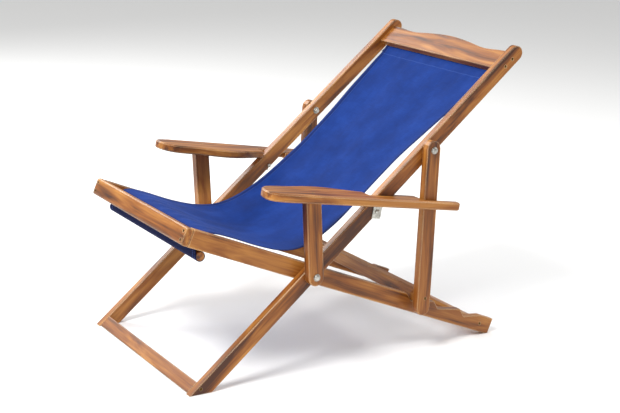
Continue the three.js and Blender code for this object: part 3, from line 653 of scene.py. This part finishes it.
# The surface is a function of the distance l along the path and the share v across it, from -1
# to 1: x = v * halfWidth(l), and the side point moves off the path by the bag, curl, folds and hem.
def makeCanvas():
    distance, path, kneeAt = canvasPath()
    total = distance[-1]
    loopLength = 2 * math.pi * canvas["loop"]
    bodyStart, bodyEnd = canvas["seam"] + loopLength * 0.75, kneeAt
    tangent = np.gradient(path, axis=0)
    tangent /= np.linalg.norm(tangent, axis=1)[:, None]
    normal = np.column_stack([tangent[:, 1], -tangent[:, 0]])  # towards the sitter
    share = np.linspace(-1, 1, canvas["columns"] + 1)
    l, v = np.meshgrid(distance, share, indexing="ij")
    body = (l - bodyStart) / (bodyEnd - bodyStart)  # 0 where the back starts, 1 at the knee bend

    # half the width: wide in the pockets, drawn in down the back, wide again over the seat
    leavesHead = smoothStep(-0.01, 0.05, body)
    waistShare = np.clip((body - canvas["waistFrom"]) / (canvas["waistTo"] - canvas["waistFrom"]), 0, 1)
    half = canvas["pocketHalf"] + (canvas["headHalf"] - canvas["pocketHalf"]) * leavesHead
    half = half - canvas["waist"] * np.sin(np.pi * waistShare) ** 1.5
    half = half - (canvas["headHalf"] - canvas["bodyHalf"]) * smoothStep(0.5, 0.9, body)
    half = half + (canvas["pocketHalf"] - canvas["bodyHalf"]) * smoothStep(1.045, 1.075, body)
    # the knee seam's flap turns up between the rails, so it is cut as narrow as the body
    flapStart, flapFull = (total - inset for inset in canvas["flapNarrows"])
    half = half - (canvas["pocketHalf"] - canvas["bodyHalf"]) * smoothStep(flapStart, flapFull, l)
    x = v * half

    # off the path: bag in the middle, edges curling up, slack folds along the back and seat
    inBody = smoothStep(0.0, 0.18, body) * (1 - smoothStep(0.86, 1.0, body))
    bag = -canvas["bag"] * inBody * (1 - v ** 2)
    curl = canvas["curl"] * np.sin(np.pi * waistShare) * np.abs(v) ** 7
    drift = 0.6 * np.sin(5.1 * body + 0.7) + 0.3 * np.sin(11.3 * body)
    waves = sum(part * np.sin(turnAcross * v + turnAlong * body + turnDrift * drift + start)
                for part, turnAcross, turnAlong, turnDrift, start in canvas["foldWaves"])
    folds = canvas["fold"] * inBody * waves
    # short creases fan out from where the cloth leaves each dowel
    headReach, kneeReach = canvas["creaseReach"]
    nearHead = np.exp(-np.clip(body, 0, None) / headReach) * smoothStep(0, 0.03, body)
    nearKnee = np.exp(-np.clip(1 - body, 0, None) / kneeReach) * (1 - smoothStep(0.99, 1.02, body))
    creases = nearHead * np.sin(31 * v + 9 * body) + nearKnee * np.sin(27 * v + 2.0)
    creases = canvas["crease"] * creases
    hemEdge = half - canvas["hemWidth"]
    hem = canvas["hemRise"] * smoothStep(hemEdge - 0.001, hemEdge, np.abs(x))
    hem = hem * smoothStep(-0.02, 0.02, body) * (1 - smoothStep(1.0, 1.03, body))
    off = bag + curl + folds + creases + hem
    side = path[:, None, :] + off[..., None] * normal[:, None, :]
    points = np.dstack([x, side[..., 0], side[..., 1]])
    made = gridObject("canvas_sling", points)

    halfFlat = canvas["headHalf"]
    clothMap = made.data.uv_layers.new(name="clothMap")
    corner = np.empty(len(made.data.loops), dtype=np.int64)
    made.data.loops.foreach_get("vertex_index", corner)
    flat = np.column_stack([(v * halfFlat).reshape(-1), l.reshape(-1)])
    clothMap.data.foreach_set("uv", flat[corner].reshape(-1))

    # painted shade: the pockets round the dowels and the sewn side hems are coloured darker navy
    inPocket = np.maximum(1 - smoothStep(-0.035, -0.005, body), smoothStep(1.006, 1.02, body))
    onHem = 0.55 * smoothStep(halfFlat - 0.020, halfFlat - 0.016, np.abs(v) * halfFlat)
    paintedShade = made.data.attributes.new("paintedShade", "FLOAT", "POINT")
    paintedShade.data.foreach_set("value", np.maximum(inPocket, onHem).reshape(-1))

    wall = made.modifiers.new("cloth", "SOLIDIFY")
    wall.thickness = canvas["thickness"]
    wall.offset = 0
    bpy.context.view_layer.objects.active = made
    made.select_set(True)
    bpy.ops.object.modifier_apply(modifier=wall.name)
    pastHead, pastKnee = canvas["pocketRows"]
    seams = [*canvas["endRows"], *(total - row for row in canvas["endRows"])]
    seams += [canvas["seam"] + loopLength + pastHead, kneeAt + pastKnee]
    made.data.materials.append(wovenCanvas("wovenCottonCanvas", seams, halfFlat))
    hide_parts("sling")
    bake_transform(made)
    print("canvas: %.3f m long, %d faces" % (total, len(made.data.polygons)))


# Pale floor, the flat grid of points (x, y, 0), and three soft lights.
studio = {
    "floor": "#fbfbfa",
    "floorSize": 14.0,
    "floorRoughness": 0.95,
    "world": "#ffffff",
    "worldStrength": 0.58,
    "lights": (  # name, place, size and power
        ("keyLight", (1.4, -3.4, 4.6), 1.6, 250),
        ("fillLight", (-3.8, -0.8, 3.0), 2.2, 120),
        ("rimLight", (0.8, 3.6, 3.4), 2.4, 50),
    ),
    "aim": (0.0, 0.0, 0.42),
}


def makeStudio():
    grid = np.linspace(-studio["floorSize"], studio["floorSize"], 3)
    across, deep = np.meshgrid(grid, grid, indexing="ij")
    floor = gridObject("studio_floor", np.dstack([across, deep, np.zeros_like(across)]), smooth=False)
    closeSolid(floor)
    if floor.data.polygons[0].normal.z < 0:
        floor.data.flip_normals()
    paper, tree = newMaterial("mattStudioPaper")
    shader = addNode(tree, "ShaderNodeBsdfPrincipled",
                     {"Base Color": srgb(studio["floor"]), "Roughness": studio["floorRoughness"]})
    addNode(tree, "ShaderNodeOutputMaterial", {}, {"Surface": shader.outputs[0]})
    floor.data.materials.append(paper)
    for name, place, size, power in studio["lights"]:
        lamp = bpy.data.lights.new(name, "AREA")
        lamp.shape, lamp.size, lamp.energy = "SQUARE", size, power
        made = bpy.data.objects.new(name, lamp)
        made.location = place
        made.rotation_euler = (Vector(studio["aim"]) - Vector(place)).to_track_quat("-Z", "Y").to_euler()
        bpy.context.scene.collection.objects.link(made)
    world = bpy.data.worlds.new("softStudio")
    world.use_nodes = True
    world.node_tree.nodes["Background"].inputs["Color"].default_value = srgb(studio["world"])
    world.node_tree.nodes["Background"].inputs["Strength"].default_value = studio["worldStrength"]
    bpy.context.scene.world = world
    bpy.context.scene.view_settings.view_transform = "Standard"


# The camera stands off the sitter's front left, above the chair, turned slightly on its axis.
view = {
    "place": (3.0462, -1.9452, 1.3539),
    "azimuth": 57.05,
    "elevation": 15.17,
    "roll": 2.5,
    "lens": 76.33,
    "sensor": 36.0,
}


def makeCamera():
    az, el, roll = (math.radians(view[k]) for k in ("azimuth", "elevation", "roll"))
    look = Vector((-math.sin(az) * math.cos(el), math.cos(az) * math.cos(el), -math.sin(el)))
    level = Vector((math.cos(az), math.sin(az), 0))
    upright = level.cross(look)
    right = math.cos(roll) * level + math.sin(roll) * upright
    up = math.cos(roll) * upright - math.sin(roll) * level
    lens = bpy.data.cameras.new("viewCamera")
    lens.lens, lens.sensor_width = view["lens"], view["sensor"]
    made = bpy.data.objects.new("viewCamera", lens)
    made.matrix_world = Matrix.Translation(view["place"]) @ Matrix((right, up, -look)).transposed().to_4x4()
    bpy.context.scene.collection.objects.link(made)
    bpy.context.scene.camera = made


makeCamera()
makeStudio()
print("studio and camera placed")
woods = finishTimbers()
steel = cloudedMetal("zincPlatedSteel")
brass = cloudedMetal("tarnishedBrass")
for side in ("left", "right"):
    giveMaterial(f"arm_bracket_{side}", steel)
print("bolts:", makeBolts(steel), "rings:", makeRings(steel), "screws:", makeScrews(brass))
makeDowels(woods)
makeCanvas()
